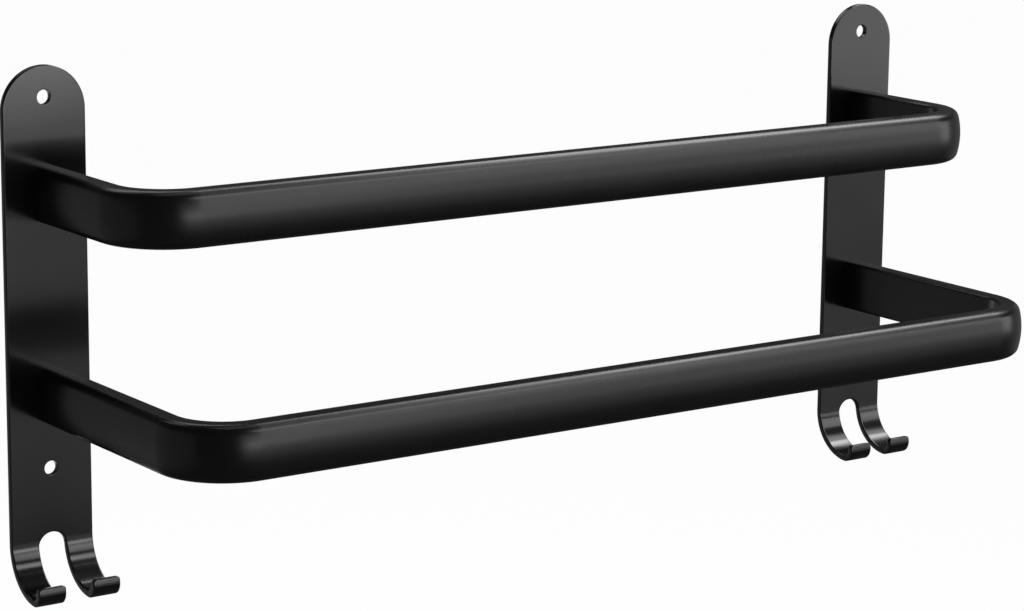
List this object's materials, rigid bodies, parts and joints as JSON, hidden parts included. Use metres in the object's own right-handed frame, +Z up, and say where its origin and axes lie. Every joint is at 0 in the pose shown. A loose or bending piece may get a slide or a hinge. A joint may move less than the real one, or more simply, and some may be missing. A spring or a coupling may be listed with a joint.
{
  "type": "towel holder",
  "caption": "Wall-mounted black double towel holder: slotted flat back plates end in small forward hooks and carry two U-shaped flat-oval bars, the lower reaching further.",
  "frame": {"origin": "middle of the four wall-screw holes, on the wall plane that the backs of the plates lie on", "axes": "+X along the bars, to the right as seen from the room; +Y into the wall; +Z up"},
  "size_m": [0.508, 0.143, 0.236],
  "materials": {
    "coated_plate": "black powder coat, semi-gloss, on stamped aluminium sheet",
    "coated_bar": "black powder coat, satin to semi-gloss, on extruded and bent aluminium tube",
    "bare_insert": "sawn and machined, uncoated",
    "plated_screw": "zinc plated"
  },
  "bodies": {
    "root": {"left_back_plate": "coated_plate", "right_back_plate": "coated_plate", "upper_bar": "coated_bar", "lower_bar": "coated_bar", "upper_left_insert": "bare_insert", "upper_right_insert": "bare_insert", "lower_left_insert": "bare_insert", "lower_right_insert": "bare_insert", "upper_bar_screws": "plated_screw", "lower_bar_screws": "plated_screw"}
  },
  "joints": []
}
